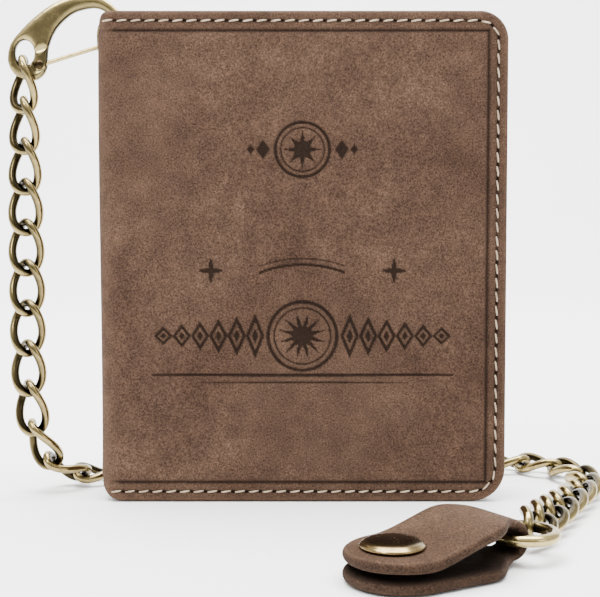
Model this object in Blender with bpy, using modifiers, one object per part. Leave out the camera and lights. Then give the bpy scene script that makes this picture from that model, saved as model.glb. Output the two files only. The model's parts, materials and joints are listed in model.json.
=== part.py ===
"""Chain wallet: an upright bifold leather wallet, a snap hook in the eyelet of
its spine, a twisted curb chain and a folded belt tab with a press stud.

Metres, +Z up. The front cover faces -Y, the spine is at -X and everything
rests on z = 0. Shapes are laid out in the wallet's own coordinates (its centre
line at x = y = 0) and hang under one empty that puts the middle of the whole
assembly's footprint at the origin.
"""

import math

import bmesh
import bpy
from mathutils import Matrix, Vector

MM = 0.001
GAP = 0.3 * MM

# Middle of the whole footprint in the wallet's own coordinates
FOOTPRINT_CENTRE = Vector((1.538 * MM, -27.441 * MM, 0.0))

# Wallet, closed
WIDTH = 100 * MM
HEIGHT = 120 * MM
THICKNESS = 19 * MM
COVER = 1.6 * MM
LINING = 0.5 * MM
PANEL = 1.0 * MM
BILL_GAP = 1.0 * MM
CARD_LEAF = 0.8 * MM
CORNER_TOP = 7 * MM
CORNER_BOTTOM = 8 * MM
CORNER_SPINE_TOP = 1.2 * MM
CORNER_SPINE_BOTTOM = 6 * MM
INNER_LEFT = -38 * MM
INNER_TOP = HEIGHT - 4 * MM
EDGE_INSET = 1.0 * MM
LEAF_CORNER = 1.0 * MM
CARD_LEAF_TOPS = (98 * MM, 84 * MM, 70 * MM)
WINDOW = (-28 * MM, 40 * MM, 12 * MM, 58 * MM)
WINDOW_CORNER = 2 * MM
DIVIDER = 0.4 * MM
DIVIDER_TOP = HEIGHT - 10 * MM

# Coin pocket and its zip: outlines are left, right, bottom, top
POCKET = (-34 * MM, 44 * MM, 8 * MM, 96 * MM)
POCKET_CORNER = 5 * MM
POCKET_DEPTH = 1.8 * MM
ZIP_Z = 86 * MM
ZIP_TAPE = (-29 * MM, 39 * MM, ZIP_Z - 5 * MM, ZIP_Z + 5 * MM)
ZIP_TAPE_THICKNESS = 0.5 * MM
ZIP_TEETH = (-26 * MM, 36 * MM, ZIP_Z - 1.6 * MM, ZIP_Z + 1.6 * MM)
ZIP_TEETH_THICKNESS = 0.6 * MM
ZIP_START = -21 * MM
SLIDER = (-3.2 * MM, 3.2 * MM, -2.4 * MM, 2.4 * MM)
SLIDER_THICKNESS = 0.8 * MM
PULL = (-2.0 * MM, 2.0 * MM, -15 * MM, -3.0 * MM)
PULL_THICKNESS = 0.7 * MM

LEFT = -WIDTH / 2
RIGHT = WIDTH / 2
FACE = THICKNESS / 2
COVER_INSIDE = FACE - COVER

# Eyelet through the spine
EYELET_Z = 114.2 * MM
EYELET_HOLE = 3.0 * MM
EYELET_BARREL = 3.4 * MM
EYELET_FLANGE = 4.7 * MM
SPINE_HOLE = 3.7 * MM
SPINE_BOTTOM = 3.5 * MM
SPINE_TOP = 119.2 * MM
WASHER = 0.5 * MM

# Snap hook, its plate lies in the plane y = 0
HOOK_THICKNESS = 2.6 * MM
GATE_WIRE = 1.1 * MM
GATE_PIVOT = Vector((-65.7 * MM, 0.0, 108.2 * MM))
GATE_SLOPE = math.radians(17.2)
GATE_LENGTH = 19.9 * MM
GATE_PLAY = 0.2 * MM
HOOK_EYE = (-69.4 * MM, 111.2 * MM)
HOOK_EYE_SIZE = (4.9 * MM, 6.5 * MM)

# Curb chain
LINK_WIRE = 2.2 * MM
LINK_LENGTH = 15.1 * MM
LINK_WIDTH = 9.3 * MM
LINK_TWIST = math.radians(90)
LINK_SQUARENESS = 0.82
LINK_POINTS = 16
LINK_COUNT = 32
LINK_PLAY = 0.5 * MM
LINK_PITCH = LINK_LENGTH - 2 * LINK_WIRE - LINK_PLAY
ROUTE = (
    (-69.9, 0.0, 108.5),
    (-69.8, 0.0, 80.0),
    (-69.6, 0.0, 50.0),
    (-69.3, 0.0, 25.0),
    (-67.4, 1.0, 13.0),
    (-62.6, 5.0, 5.2),
    (-56.0, 11.5, 2.8),
    (-46.0, 17.0, 2.7),
    (-28.0, 19.5, 2.7),
    (0.0, 21.5, 2.7),
    (33.0, 25.3, 2.7),
    (52.0, 27.6, 2.7),
    (61.5, 26.2, 2.7),
    (68.5, 21.0, 2.8),
    (72.6, 13.0, 2.8),
    (73.2, 4.0, 2.8),
    (69.5, -8.5, 3.0),
    (62.5, -22.5, 3.5),
    (55.5, -37.5, 4.2),
    (49.0, -51.0, 5.0),
    (42.5, -64.5, 5.0),
)
# Roll of the first links about their own length: the top link passes through
# the hook's eye from front to back, the lower ones turn to face the front
HANGING_ROLL = (-46, -36, -24, -12, -4, 0, 0, -8, -20, -33)
# Roll of the last links on the floor: the last one stands up to take the ring
END_ROLL = (10, 22, 34, 45)

# Belt tab: s runs along the strap from the fold (0) towards the stud (-)
RING_HEIGHT = 5.0 * MM
RING_RADIUS = 6.3 * MM
RING_WIRE = 2.4 * MM
TAB_ANGLE = math.radians(30)
TAB_LENGTH = 37 * MM
TAB_WIDTH = 22 * MM
TAB_WAIST = 7 * MM
STRAP = 2.6 * MM
FOLD_WALL = 1.8 * MM
FOLD_BORE = 2.4 * MM
FOLD_OFFSET = 5.76 * MM
STUD_S = -26.5 * MM
STUD_GAP = 1.2 * MM
POST_HOLE = 1.7 * MM
POST_RECESS = 3.9 * MM
SOCKET_HOLE = 4.3 * MM
POST_LIFT = 0.2 * MM
SNAP_CAP = 6.4 * MM

LEATHER = ((0.21, 0.13, 0.085), 0.8, 0.0)
LEATHER_DARK = ((0.10, 0.06, 0.04), 0.8, 0.0)
LINING_CLOTH = ((0.03, 0.03, 0.03), 0.9, 0.0)
BRASS = ((0.45, 0.34, 0.16), 0.35, 1.0)
BRASS_DARK = ((0.16, 0.12, 0.07), 0.4, 1.0)
CLEAR = ((0.7, 0.72, 0.74), 0.15, 0.0)


def clear_scene():
    for thing in list(bpy.data.objects):
        bpy.data.objects.remove(thing, do_unlink=True)


def new_collection(name):
    made = bpy.data.collections.new(name)
    bpy.context.scene.collection.children.link(made)
    return made


def material(name, look):
    colour, roughness, metallic = look
    made = bpy.data.materials.new(name)
    made.use_nodes = True
    shader = made.node_tree.nodes["Principled BSDF"]
    shader.inputs["Base Color"].default_value = (*colour, 1.0)
    shader.inputs["Roughness"].default_value = roughness
    shader.inputs["Metallic"].default_value = metallic
    made.diffuse_color = (*colour, 1.0)
    return made


def empty(name, location, parent=None):
    made = bpy.data.objects.new(name, None)
    made.empty_display_size = 5 * MM
    made.location = location
    made.parent = parent
    PARTS.objects.link(made)
    return made


def add(name, data, look, parent, location=(0, 0, 0), rotation=None):
    """A part under its joint's empty, placed in the wallet's coordinates."""
    made = bpy.data.objects.new(name, data)
    PARTS.objects.link(made)
    made.parent = parent
    if rotation is not None:
        made.rotation_euler = rotation
    made.location = Vector(location) - (world_offset(parent) if parent else Vector())
    if not data.materials:
        data.materials.append(material(name, look))
    return made


def world_offset(thing):
    """Where an empty lies in the wallet's coordinates."""
    place = Vector()
    while thing is not None and thing is not ORIGIN:
        place += thing.location
        thing = thing.parent
    return place


def cutter(name, mesh, location=(0, 0, 0), rotation=(0, 0, 0)):
    made = bpy.data.objects.new(name, mesh)
    CUTTERS.objects.link(made)
    made.parent = ORIGIN
    made.location = location
    made.rotation_euler = rotation
    made.hide_render = True
    made.display_type = "WIRE"
    return made


def boolean(piece, tool, operation="DIFFERENCE"):
    cut = piece.modifiers.new(tool.name, "BOOLEAN")
    cut.object = tool
    cut.operation = operation
    cut.solver = "EXACT"


def box_mesh(name, low, high):
    mesh = bpy.data.meshes.new(name)
    bm = bmesh.new()
    bmesh.ops.create_cube(bm, size=1.0)
    size = Vector(high) - Vector(low)
    middle = (Vector(high) + Vector(low)) / 2
    bmesh.ops.scale(bm, vec=size, verts=bm.verts)
    bmesh.ops.translate(bm, vec=middle, verts=bm.verts)
    bm.to_mesh(mesh)
    bm.free()
    return mesh


def disc_mesh(name, radius, depth, sides=24):
    """A cylinder on Z, its base at z = 0."""
    mesh = bpy.data.meshes.new(name)
    bm = bmesh.new()
    bmesh.ops.create_cone(
        bm, cap_ends=True, segments=sides, radius1=radius, radius2=radius, depth=depth
    )
    bmesh.ops.translate(bm, vec=(0, 0, depth / 2), verts=bm.verts)
    bm.to_mesh(mesh)
    bm.free()
    return mesh


def turned(name, profile, look, parent, location, rotation=None, steps=24):
    """A piece turned about its Z axis from (radius, height) points, outer side top to bottom."""
    mesh = bpy.data.meshes.new(name)
    bm = bmesh.new()
    points = [bm.verts.new((r, 0, z)) for r, z in profile]
    closed = profile[0][0] > 0 and profile[-1][0] > 0
    for first, second in zip(points, points[1:] + points[:1] if closed else points[1:]):
        bm.edges.new((first, second))
    bm.to_mesh(mesh)
    bm.free()
    made = add(name, mesh, look, parent, location, rotation)
    screw = made.modifiers.new("turn", "SCREW")
    screw.steps = steps
    screw.render_steps = steps
    screw.use_merge_vertices = True
    screw.merge_threshold = 0.00001
    mesh.shade_smooth()
    return made


def arc(centre, radius, start, end, count):
    """Points on an arc, in degrees."""
    cx, cy = centre
    for i in range(count + 1):
        angle = math.radians(start + (end - start) * i / count)
        yield cx + radius * math.cos(angle), cy + radius * math.sin(angle)


def rounded_rectangle(x0, x1, z0, z1, top_left, top_right, bottom_right, bottom_left):
    points = []
    points += arc((x1 - top_right, z1 - top_right), top_right, 0, 90, 4)
    points += arc((x0 + top_left, z1 - top_left), top_left, 90, 180, 2)
    points += arc((x0 + bottom_left, z0 + bottom_left), bottom_left, 180, 270, 4)
    points += arc((x1 - bottom_right, z0 + bottom_right), bottom_right, 270, 360, 4)
    return points


def flat_curve(name, outlines, thickness):
    """A flat 2D curve, filled and given a thickness along its own Z."""
    data = bpy.data.curves.new(name, "CURVE")
    data.dimensions = "2D"
    data.fill_mode = "BOTH"
    data.extrude = thickness / 2
    for outline in outlines:
        spline = data.splines.new("POLY")
        spline.points.add(len(outline) - 1)
        for point, (x, y) in zip(spline.points, outline):
            point.co = (x, y, 0, 1)
        spline.use_cyclic_u = True
    return data


def upright_sheet(name, outline, y_low, y_high, look, parent):
    """A sheet in the XZ plane between two depths."""
    data = flat_curve(name, [outline], y_high - y_low)
    where = (0, (y_low + y_high) / 2, 0)
    return add(name, data, look, parent, where, (math.pi / 2, 0, 0))


def as_mesh(thing):
    """Replaces a curve object by the same shape as a welded mesh."""
    bpy.context.view_layer.update()
    graph = bpy.context.evaluated_depsgraph_get()
    mesh = bpy.data.meshes.new_from_object(thing.evaluated_get(graph))
    bm = bmesh.new()
    bm.from_mesh(mesh)
    bmesh.ops.remove_doubles(bm, verts=bm.verts, dist=0.00001)
    bmesh.ops.recalc_face_normals(bm, faces=bm.faces)
    bm.to_mesh(mesh)
    bm.free()
    name = thing.name
    made = bpy.data.objects.new(name + "_mesh", mesh)
    made.parent = thing.parent
    made.location = thing.location
    made.rotation_euler = thing.rotation_euler
    for group in thing.users_collection:
        group.objects.link(made)
    bpy.data.objects.remove(thing, do_unlink=True)
    made.name = name
    return made


def catmull_rom(a, b, c, d, steps):
    """Points from b up to c on the curve through four points."""
    for k in range(steps):
        t = k / steps
        yield 0.5 * (
            2 * b
            + (c - a) * t
            + (2 * a - 5 * b + 4 * c - d) * t**2
            + (3 * b - a - 3 * c + d) * t**3
        )


def smooth_path(points, steps):
    """An open curve through hand-placed points."""
    ends = [2 * points[0] - points[1], *points, 2 * points[-1] - points[-2]]
    for i in range(1, len(ends) - 2):
        yield from catmull_rom(*ends[i - 1 : i + 3], steps)
    yield points[-1]


def smooth_outline(points, steps):
    """A closed curve through hand-placed points."""
    for i in range(len(points)):
        around = (Vector(points[(i + k - 1) % len(points)]) for k in range(4))
        yield from catmull_rom(*around, steps)


# Wallet ---------------------------------------------------------------------


def cover_outline():
    return rounded_rectangle(
        LEFT, RIGHT, 0, HEIGHT,
        CORNER_SPINE_TOP, CORNER_TOP, CORNER_BOTTOM, CORNER_SPINE_BOTTOM,
    )


def inner_outline(x_left, z_top, inset):
    """An inner leaf: square at the spine side, following the cover's rounded corners."""
    top_right = CORNER_TOP if z_top > INNER_TOP else LEAF_CORNER
    return rounded_rectangle(
        x_left, RIGHT - inset, inset, z_top,
        LEAF_CORNER, top_right, CORNER_BOTTOM - inset, LEAF_CORNER,
    )


def cut_out(outline, corner):
    """A rectangle with four equal corners."""
    return rounded_rectangle(*outline, *[corner] * 4)


def front_half(parent):
    outside = -FACE
    upright_sheet("front_cover", cover_outline(), outside, outside + COVER, LEATHER, parent)
    y = outside + COVER + GAP
    upright_sheet(
        "front_lining", inner_outline(LEFT + 2 * MM, HEIGHT - EDGE_INSET, EDGE_INSET),
        y, y + LINING, LINING_CLOTH, parent,
    )
    y += LINING + BILL_GAP
    upright_sheet(
        "front_inner_panel", inner_outline(INNER_LEFT, INNER_TOP, EDGE_INSET),
        y, y + PANEL, LEATHER_DARK, parent,
    )
    y += PANEL + GAP
    for i, top in enumerate(CARD_LEAF_TOPS):
        upright_sheet(
            f"card_leaf_{i + 1}", inner_outline(INNER_LEFT + 2 * MM, top, EDGE_INSET + MM),
            y, y + CARD_LEAF, LEATHER_DARK, parent,
        )
        y += CARD_LEAF + GAP
    upright_sheet("id_window", cut_out(WINDOW, WINDOW_CORNER), y, y + GAP, CLEAR, parent)


def back_half(parent):
    outside = FACE
    upright_sheet("back_cover", cover_outline(), outside - COVER, outside, LEATHER, parent)
    y = outside - COVER - GAP
    upright_sheet(
        "back_lining", inner_outline(LEFT + 2 * MM, HEIGHT - EDGE_INSET, EDGE_INSET),
        y - LINING, y, LINING_CLOTH, parent,
    )
    y -= LINING + GAP
    upright_sheet(
        "bill_divider", inner_outline(INNER_LEFT, DIVIDER_TOP, EDGE_INSET),
        y - DIVIDER, y, LINING_CLOTH, parent,
    )
    y -= DIVIDER + GAP
    upright_sheet(
        "back_inner_panel", inner_outline(INNER_LEFT, INNER_TOP, EDGE_INSET),
        y - PANEL, y, LEATHER_DARK, parent,
    )
    y -= PANEL + GAP
    pocket = cut_out(POCKET, POCKET_CORNER)
    upright_sheet("coin_pocket_panel", pocket, y - POCKET_DEPTH, y, LEATHER_DARK, parent)
    y -= POCKET_DEPTH + GAP
    tape = cut_out(ZIP_TAPE, 1.0 * MM)
    upright_sheet("zip_tape", tape, y - ZIP_TAPE_THICKNESS, y, LINING_CLOTH, parent)
    y -= ZIP_TAPE_THICKNESS + GAP
    teeth = cut_out(ZIP_TEETH, 0.4 * MM)
    upright_sheet("zip_teeth", teeth, y - ZIP_TEETH_THICKNESS, y, BRASS, parent)
    return Vector((ZIP_START, y - ZIP_TEETH_THICKNESS - GAP, ZIP_Z))


def zip_runner(parent, place):
    """The slider on the teeth and the pull that hangs from it."""
    upright = (math.pi / 2, 0, 0)
    middle = place - Vector((0, SLIDER_THICKNESS / 2, 0))
    for name, outline, corner, thickness in (
        ("zip_slider", SLIDER, 1.2 * MM, SLIDER_THICKNESS),
        ("zip_pull", PULL, 1.4 * MM, PULL_THICKNESS),
    ):
        data = flat_curve(name, [cut_out(outline, corner)], thickness)
        add(name, data, BRASS, parent, middle, upright)


def spine(parent):
    side = COVER_INSIDE - GAP
    mesh = box_mesh(
        "spine_cover", (LEFT, -side, SPINE_BOTTOM), (LEFT + COVER, side, SPINE_TOP)
    )
    made = add("spine_cover", mesh, LEATHER, parent)
    across = (0, math.pi / 2, 0)
    hole = disc_mesh("spine_hole", SPINE_HOLE, 6 * MM)
    boolean(made, cutter("spine_hole", hole, (LEFT - 2 * MM, 0, EYELET_Z), across))
    middle = (LEFT, 0, EYELET_Z)
    # The eyelet's axis is X; its flange is outside the leather, its barrel inside
    reach = COVER + 3 * GAP + WASHER
    turned(
        "eyelet_outer",
        [
            (EYELET_BARREL, reach), (EYELET_BARREL, -GAP), (EYELET_FLANGE, -GAP),
            (EYELET_FLANGE - 0.4 * MM, -2.4 * GAP), (EYELET_HOLE, -2.8 * GAP),
            (EYELET_HOLE, reach),
        ],
        BRASS_DARK, parent, middle, across,
    )
    low = COVER + GAP
    turned(
        "eyelet_washer",
        [
            (EYELET_FLANGE, low + WASHER), (EYELET_FLANGE, low),
            (EYELET_BARREL + GAP, low), (EYELET_BARREL + GAP, low + WASHER),
        ],
        BRASS_DARK, parent, middle, across,
    )


# Snap hook ------------------------------------------------------------------


def hook(hook_joint, gate_joint):
    """A crescent plate with an eye for the chain; its nose dips into the wallet."""
    outline = (
        (-71.9, 105.7), (-73.7, 109.1), (-73.0, 113.3), (-70.2, 116.9), (-66.6, 120.3),
        (-62.4, 123.3), (-58.2, 125.0), (-53.9, 125.5), (-50.8, 125.1), (-47.6, 123.3),
        (-44.5, 120.0), (-43.2, 116.5), (-43.5, 114.6), (-45.1, 114.8), (-45.7, 116.6),
        (-46.9, 119.3), (-49.2, 121.4), (-52.0, 122.3), (-56.1, 121.5), (-58.8, 119.9),
        (-61.5, 117.1), (-63.0, 114.0), (-63.7, 111.2), (-63.9, 107.6), (-65.2, 105.3),
        (-67.9, 104.2),
    )
    contour = [tuple(p) for p in smooth_outline([(x * MM, z * MM) for x, z in outline], 2)]
    wide, tall = HOOK_EYE_SIZE
    eye = [
        (HOOK_EYE[0] + wide / 2 * math.cos(a), HOOK_EYE[1] + tall / 2 * math.sin(a))
        for a in (math.tau * i / 12 for i in range(12))
    ]
    data = flat_curve("hook_body", [contour, eye], HOOK_THICKNESS)
    body = add("hook_body", data, BRASS, hook_joint, (0, 0, 0), (math.pi / 2, 0, 0))
    body = as_mesh(body)
    # The slot that the gate's foot swings in
    slot_half = GATE_WIRE / 2 + GATE_PLAY
    slot = box_mesh(
        "gate_slot", (-1.6 * MM, -slot_half, -1.3 * MM), (9 * MM, slot_half, 3.6 * MM)
    )
    boolean(body, cutter("gate_slot", slot, GATE_PIVOT, (0, -GATE_SLOPE, 0)))
    wire = bpy.data.curves.new("hook_gate", "CURVE")
    wire.dimensions = "3D"
    wire.bevel_depth = GATE_WIRE / 2
    wire.bevel_resolution = 2
    wire.use_fill_caps = True
    spline = wire.splines.new("POLY")
    along = Vector((math.cos(GATE_SLOPE), 0, math.sin(GATE_SLOPE)))
    spline.points.add(2)
    for point, far in zip(spline.points, (0.0, GATE_LENGTH / 2, GATE_LENGTH)):
        point.co = (*(along * far), 1)
    add("hook_gate", wire, BRASS, gate_joint, GATE_PIVOT)


# Chain ----------------------------------------------------------------------


def link_centreline(points=LINK_POINTS):
    """A long oval twisted about its length, its upstream pivot at the origin."""
    half_long = (LINK_LENGTH - LINK_WIRE) / 2
    half_wide = (LINK_WIDTH - LINK_WIRE) / 2
    for i in range(points):
        angle = math.tau * (i + 0.5) / points
        along = math.cos(angle)
        across = math.copysign(abs(math.sin(angle)) ** LINK_SQUARENESS, math.sin(angle))
        turn = -LINK_TWIST / 2 * along
        yield Vector(
            (
                half_wide * across * math.cos(turn),
                half_wide * across * math.sin(turn),
                half_long * along - LINK_PITCH / 2,
            )
        )


def chain_pivots():
    """Pivots one pitch apart along the route."""
    route = list(smooth_path([Vector(p) * MM for p in ROUTE], 40))
    pivots = [route[0]]
    for start, end in zip(route, route[1:]):
        while (end - pivots[-1]).length >= LINK_PITCH:
            step = (end - start).normalized()
            away = start - pivots[-1]
            middle = away.dot(step)
            far = -middle + math.sqrt(middle**2 - away.length_squared + LINK_PITCH**2)
            pivots.append(start + step * far)
    return pivots


def link_frames():
    """Each link's pivot and its rotation: Z back along the chain, X across it."""
    pivots = chain_pivots()
    count = min(LINK_COUNT, len(pivots) - 1)
    for i in range(count):
        ahead = (pivots[i + 1] - pivots[i]).normalized()
        if i < len(HANGING_ROLL):
            roll = math.radians(HANGING_ROLL[i])
            across = Vector((math.cos(roll), math.sin(roll), 0))
        else:
            across = ahead.cross(Vector((0, 0, 1)))
            from_end = i - (count - len(END_ROLL))
            if from_end >= 0:
                turn = math.radians(END_ROLL[from_end])
                across = Matrix.Rotation(-turn, 3, ahead) @ across
        across = (across - across.dot(ahead) * ahead).normalized()
        back = -ahead
        rotation = Matrix((across, back.cross(across), back)).transposed()
        yield pivots[i], rotation


def chain(first_joint):
    data = bpy.data.curves.new("chain_link", "CURVE")
    data.dimensions = "3D"
    data.bevel_depth = LINK_WIRE / 2
    data.bevel_resolution = 1
    spline = data.splines.new("POLY")
    centreline = list(link_centreline())
    spline.points.add(len(centreline) - 1)
    for point, place in zip(spline.points, centreline):
        point.co = (*place, 1)
    spline.use_cyclic_u = True
    data.materials.append(material("chain_brass", BRASS))
    for i, (pivot, rotation) in enumerate(link_frames()):
        add(f"link_{i + 1:02d}", data, BRASS, first_joint, pivot, rotation.to_euler())


# Belt tab -------------------------------------------------------------------


def ring_centre():
    """The last link's end pulls on the ring's wire from the outside."""
    pivots = chain_pivots()
    end, before = pivots[LINK_COUNT], pivots[LINK_COUNT - 1]
    ahead = (end - before).to_2d().normalized()
    overlap = (RING_WIRE + LINK_PLAY) / 2
    middle = end.to_2d() + ahead * (RING_RADIUS - overlap)
    return Vector((*middle, RING_HEIGHT))


def ring(parent):
    mesh = bpy.data.meshes.new("tab_ring")
    made = add("tab_ring", mesh, BRASS, parent, ring_centre())
    bm = bmesh.new()
    sides = 8
    profile = [
        bm.verts.new((RING_RADIUS + RING_WIRE / 2 * math.cos(a), 0, RING_WIRE / 2 * math.sin(a)))
        for a in (-math.tau * i / sides for i in range(sides))
    ]
    for first, second in zip(profile, profile[1:] + profile[:1]):
        bm.edges.new((first, second))
    bm.to_mesh(mesh)
    bm.free()
    screw = made.modifiers.new("turn", "SCREW")
    screw.steps = 24
    screw.render_steps = 24
    screw.use_merge_vertices = True
    screw.merge_threshold = 0.00001
    mesh.shade_smooth()


def fold_centre():
    along = Vector((math.cos(TAB_ANGLE), math.sin(TAB_ANGLE), 0))
    return ring_centre() - FOLD_OFFSET * along


def tab_hinge():
    """The strap turns on the ring's wire, where its fold passes through."""
    along = Vector((math.cos(TAB_ANGLE), math.sin(TAB_ANGLE), 0))
    return ring_centre() - RING_RADIUS * along


def tab_plan():
    """The strap seen from above: a round tongue that narrows to its waist at the fold."""
    half = TAB_WIDTH / 2
    tip = -TAB_LENGTH + half
    side = [*arc((tip, 0), half, 180, 90, 6)]
    side += [(-20 * MM, half), (-15 * MM, half - 0.7 * MM), (-11 * MM, half - 2.6 * MM)]
    side += [(-6 * MM, TAB_WAIST / 2 + 1.2 * MM), (-2.6 * MM, TAB_WAIST / 2)]
    side += [(FOLD_BORE + FOLD_WALL + MM, TAB_WAIST / 2)]
    return side + [(s, -w) for s, w in reversed(side[1:])]


def strap(name, profile, parent, plan):
    """A side profile drawn across the strap's width and trimmed to its plan."""
    data = flat_curve(name, [profile], TAB_WIDTH + 2 * MM)
    turn = (math.pi / 2, 0, TAB_ANGLE)
    made = as_mesh(add(name, data, LEATHER, parent, fold_centre(), turn))
    boolean(made, plan, "INTERSECT")
    return made


def belt_tab(parent, flap_joint):
    centre = fold_centre()
    floor = -centre.z
    under = FOLD_BORE
    flat_top = floor + STRAP
    data = flat_curve("tab_plan", [tab_plan()], 30 * MM)
    plan = bpy.data.objects.new("tab_plan", data)
    CUTTERS.objects.link(plan)
    plan.parent = ORIGIN
    plan.location = centre
    plan.rotation_euler = (0, 0, TAB_ANGLE)
    plan = as_mesh(plan)
    plan.hide_render = True
    plan.display_type = "WIRE"
    outer = FOLD_BORE + FOLD_WALL
    end = -TAB_LENGTH - MM
    lower = [(end, floor), (-5 * MM, floor)]
    lower += list(arc((0, 0), outer, -90, 90, 8))
    lower += list(arc((0, 0), FOLD_BORE, 90, -90, 8))
    lower += [(end, flat_top)]
    back_flap = strap("tab_back_flap", lower, parent, plan)
    gap_top = flat_top + STUD_GAP
    upper = [
        (-GAP, under), (-GAP, outer), (-4 * MM, outer + 0.6 * MM), (-10 * MM, outer + 0.5 * MM),
        (-14 * MM, gap_top + STRAP + 2.0 * MM), (-18 * MM, gap_top + STRAP + 0.4 * MM),
        (-21 * MM, gap_top + STRAP), (end, gap_top + STRAP), (end, gap_top),
        (-20 * MM, gap_top), (-17 * MM, gap_top + 0.6 * MM), (-13.5 * MM, gap_top + 1.9 * MM),
        (-10 * MM, under),
    ]
    front_flap = strap("tab_front_flap", upper, flap_joint, plan)
    stud = centre + Vector((math.cos(TAB_ANGLE), math.sin(TAB_ANGLE), 0)) * STUD_S
    press_stud(stud, back_flap, front_flap, parent, flap_joint)


def press_stud(stud, back_flap, front_flap, parent, flap_joint):
    below = (stud.x, stud.y, -3 * MM)
    between = (stud.x, stud.y, STRAP + 0.5 * MM)
    for piece, name, radius, depth, place in (
        (back_flap, "post_hole", POST_HOLE, 9 * MM, below),
        (back_flap, "post_recess", POST_RECESS, 4 * MM, below),
        (front_flap, "socket_hole", SOCKET_HOLE, 9 * MM, between),
    ):
        boolean(piece, cutter(name, disc_mesh(name, radius, depth, 20), place))
    turned(
        "snap_post",
        [(0, 2.3 * MM), (1.4 * MM, 2.3 * MM), (1.4 * MM, 0.7 * MM), (3.6 * MM, 0.7 * MM),
         (3.6 * MM, POST_LIFT), (0, POST_LIFT)],
        BRASS_DARK, parent, (stud.x, stud.y, 0), None, 16,
    )
    base = STRAP + GAP
    turned(
        "snap_stud",
        [(0, 1.9 * MM), (1.2 * MM, 1.9 * MM), (1.6 * MM, 1.5 * MM), (1.3 * MM, 0.3 * MM),
         (3.4 * MM, 0.3 * MM), (3.4 * MM, 0.0), (0, 0.0)],
        BRASS, parent, (stud.x, stud.y, base), None, 16,
    )
    socket = base + 2 * GAP
    top = STRAP + STUD_GAP + STRAP
    roof = top - socket
    turned(
        "snap_socket",
        [(0, roof), (3.9 * MM, roof), (3.9 * MM, 0.0), (2.0 * MM, 0.0), (2.0 * MM, 1.6 * MM),
         (0, 1.6 * MM)],
        BRASS, flap_joint, (stud.x, stud.y, socket), None, 20,
    )
    turned(
        "snap_cap",
        [(0, 1.9 * MM), (2.6 * MM, 1.8 * MM), (4.6 * MM, 1.4 * MM), (5.9 * MM, 0.8 * MM),
         (SNAP_CAP, 0.2 * MM), (SNAP_CAP - 0.3 * MM, 0.0), (0, 0.0)],
        BRASS_DARK, flap_joint, (stud.x, stud.y, top + GAP), None, 24,
    )


# Assembly -------------------------------------------------------------------

clear_scene()
PARTS = new_collection("chain_wallet")
CUTTERS = new_collection("cutters")
ORIGIN = empty("wallet_origin", -FOOTPRINT_CENTRE)

front_joint = empty("cover_hinge", (LEFT, -(COVER_INSIDE - GAP / 2), HEIGHT / 2), ORIGIN)
hook_joint = empty("hook_swivel", (LEFT + COVER / 2, 0, EYELET_Z), ORIGIN)
gate_joint = empty("gate_pivot", GATE_PIVOT - hook_joint.location, hook_joint)
ring_joint = empty("ring_swivel", chain_pivots()[LINK_COUNT], ORIGIN)
tab_joint = empty("tab_hinge", tab_hinge(), ORIGIN)
flap_hinge = fold_centre() + Vector((0, 0, FOLD_BORE + FOLD_WALL + 0.6 * MM))
flap_joint = empty("flap_hinge", flap_hinge, ORIGIN)

front_half(front_joint)
zip_place = back_half(ORIGIN)
zip_joint = empty("zip_track", zip_place, ORIGIN)
zip_runner(zip_joint, zip_place)
spine(ORIGIN)
hook(hook_joint, gate_joint)
chain(ORIGIN)
ring(ring_joint)
belt_tab(tab_joint, flap_joint)
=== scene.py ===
"""Looks for the chain wallet: nubuck leather, seams, antique brass hardware, chain and belt tab."""

import json
import math

import bmesh
import bpy
import numpy as np
from mathutils import Matrix, Vector
from mathutils.kdtree import KDTree

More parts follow.
